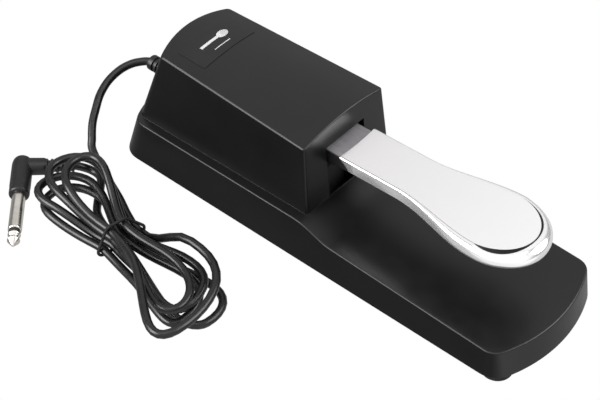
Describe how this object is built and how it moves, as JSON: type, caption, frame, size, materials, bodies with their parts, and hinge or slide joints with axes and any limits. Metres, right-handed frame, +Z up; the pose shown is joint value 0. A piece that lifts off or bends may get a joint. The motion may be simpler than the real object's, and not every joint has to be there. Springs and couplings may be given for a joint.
{
  "type": "sustain pedal",
  "caption": "Piano-style sustain pedal: moulded black case, sprung lever with a chrome paddle, and a tied cable with a right-angle jack plug.",
  "frame": {"origin": "centre of the flat pad under the bottom plate, midway along the case and between its sides; the floor is 3 mm below it, under the feet", "axes": "+Z up, -Y towards the lever's tip, +Y towards the cable's exit, +X to the right when seen from behind the case"},
  "size_m": [0.1539, 0.2563, 0.0644],
  "materials": {
    "case": "fine satin moulded black, slightly glossy on the rounded edges",
    "badge": "smooth dark printed label",
    "chrome": "bright plated, lightly smeared",
    "core": "mid grey satin moulding",
    "rubber": "matt black rubber",
    "cable": "soft black PVC with broad highlights",
    "plug_body": "black moulded plastic",
    "nickel": "nickel plate, slightly warm",
    "insulator": "black ring",
    "plate": "fine matt black",
    "steel": "bright zinc plate",
    "spring_steel": "drawn wire",
    "nylon": "natural nylon",
    "felt": "dense grey felt",
    "board": "green printed board",
    "switch": "black moulded switch",
    "button": "red button",
    "red_wire": "red insulation",
    "white_wire": "white insulation"
  },
  "bodies": {
    "case": {"badge": "badge", "board_screw_left": "steel", "board_screw_right": "steel", "bottom_plate": "plate", "bracket_screw_left": "steel", "bracket_screw_right": "steel", "cable": "cable", "cable_tie": "rubber", "case_screw_front_left": "steel", "case_screw_front_right": "steel", "case_screw_rear_left": "steel", "case_screw_rear_right": "steel", "down_stop_pad": "rubber", "foot_front_left": "rubber", "foot_front_right": "rubber", "foot_rear_left": "rubber", "foot_rear_right": "rubber", "pin_clip_left": "steel", "pin_clip_right": "steel", "pivot_bracket": "steel", "pivot_pin": "steel", "plug_handle": "plug_body", "plug_insulator": "insulator", "plug_sleeve": "nickel", "plug_tip": "nickel", "polarity_body": "steel", "return_spring": "spring_steel", "strain_relief": "rubber", "switch_board": "board", "switch_body": "switch", "up_stop_felt": "felt", "upper_case": "case", "wire_ground": "white_wire", "wire_signal": "red_wire"},
    "lever": {"lever_cap": "chrome", "lever_core": "core", "cap_screw_rear": "steel", "cap_screw_front": "steel", "pivot_bush_left": "nylon", "pivot_bush_right": "nylon"},
    "button": {"switch_button": "button"},
    "slider": {"polarity_slider": "switch"}
  },
  "joints": [
    {"name": "lever_hinge", "type": "hinge", "parent": "case", "child": "lever", "pos_m": [0, 0.078, 0.0412], "axis": [1, 0, 0], "range_deg": [0, 6.5], "deforming": ["return_spring"]},
    {"name": "button_slide", "type": "slide", "parent": "case", "child": "button", "axis": [0, 0, -1], "range_m": [0, 0.00225]},
    {"name": "polarity_slide", "type": "slide", "parent": "case", "child": "slider", "axis": [1, 0, 0], "range_m": [0, 0.003]}
  ],
  "couplings": [
    {"joint": "button_slide", "follows": "lever_hinge", "m_per_rad": 0.0195}
  ]
}
